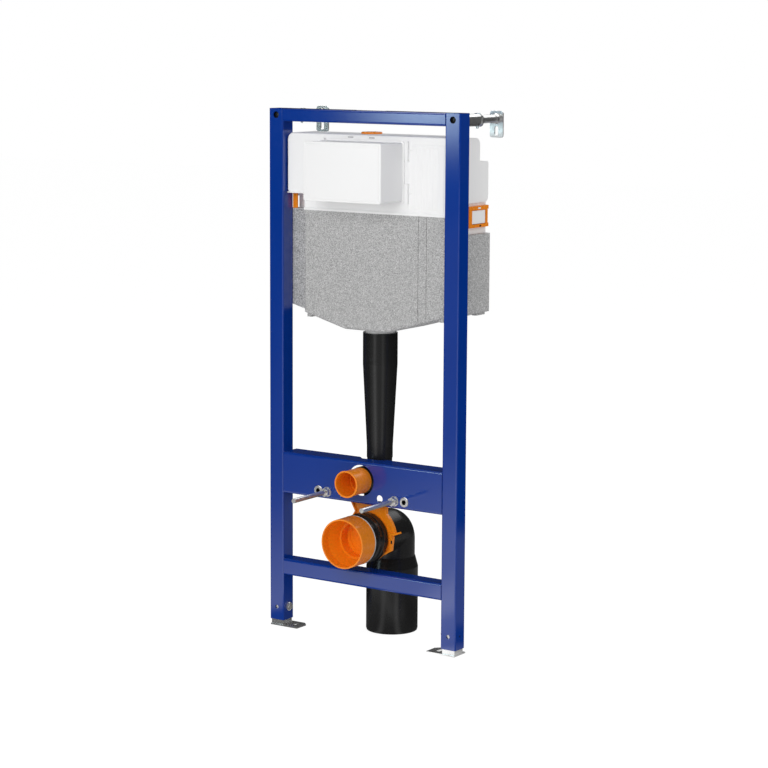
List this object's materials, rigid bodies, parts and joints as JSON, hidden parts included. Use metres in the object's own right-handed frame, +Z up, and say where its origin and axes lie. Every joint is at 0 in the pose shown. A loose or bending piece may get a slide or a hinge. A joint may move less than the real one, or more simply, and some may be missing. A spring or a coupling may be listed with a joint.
{
  "type": "wall hung toilet frame",
  "caption": "Steel installation frame with a concealed cistern, flush pipe, waste bend, bowl studs, sliding feet and wall brackets.",
  "frame": {"origin": "middle of the left foot, on the underside of its base plate, at floor level", "axes": "+Z up, +Y from the front face of the posts to the wall, +X from the left post to the right one"},
  "size_m": [0.5, 0.3115, 1.1717],
  "materials": {
    "blue_steel": "gloss powder coat",
    "galvanised": "galvanised sheet",
    "zinc": "zinc plated",
    "white_plastic": "satin moulded",
    "orange_plastic": "satin moulded",
    "black_plastic": "satin",
    "foam": "moulded bead foam",
    "seal": "satin"
  },
  "bodies": {
    "left_foot": {"left_foot": "galvanised"},
    "right_foot": {"right_foot": "galvanised"},
    "left_wall_bracket": {"left_wall_plate": "galvanised", "left_wall_rod": "galvanised"},
    "right_wall_bracket": {"right_wall_plate": "galvanised", "right_wall_rod": "galvanised"},
    "frame": {"left_post": "blue_steel", "right_post": "blue_steel", "top_rail": "blue_steel", "bowl_beam": "blue_steel", "lower_rail": "blue_steel", "left_rod_sleeve": "galvanised", "right_rod_sleeve": "galvanised", "left_foot_bolt": "zinc", "left_stud": "zinc", "left_stud_nut": "zinc", "left_stud_washer": "zinc", "left_weld_nut": "zinc", "left_outer_socket": "zinc", "right_foot_bolt": "zinc", "right_stud": "zinc", "right_stud_nut": "zinc", "right_stud_washer": "zinc", "right_weld_nut": "zinc", "right_outer_socket": "zinc", "cistern_tank": "white_plastic", "tank_outlet": "white_plastic", "access_shroud": "white_plastic", "access_cover": "white_plastic", "left_shroud_clips": "white_plastic", "right_shroud_clips": "white_plastic", "left_inlet_frame": "orange_plastic", "right_inlet_frame": "orange_plastic", "inlet_plug": "orange_plastic", "flush_cap": "orange_plastic", "waste_cap": "orange_plastic", "waste_clamp": "orange_plastic", "flush_pipe": "black_plastic", "flush_bend": "black_plastic", "waste_bend": "black_plastic", "waste_collar": "black_plastic", "drain_reducer": "black_plastic", "jacket_front": "foam", "jacket_back": "foam", "seal_ring": "seal"}
  },
  "joints": [
    {"name": "frame_height", "type": "slide", "parent": "left_foot", "child": "frame", "axis": [0, 0, 1], "range_m": [0, 0.2]},
    {"name": "right_foot_reach", "type": "slide", "parent": "frame", "child": "right_foot", "axis": [0, 0, -1], "range_m": [0, 0.2]},
    {"name": "left_bracket_depth", "type": "slide", "parent": "frame", "child": "left_wall_bracket", "axis": [0, 1, 0], "range_m": [0, 0.05]},
    {"name": "right_bracket_depth", "type": "slide", "parent": "frame", "child": "right_wall_bracket", "axis": [0, 1, 0], "range_m": [0, 0.05]}
  ],
  "couplings": [
    {"joint": "right_foot_reach", "follows": "frame_height", "ratio": 1}
  ]
}
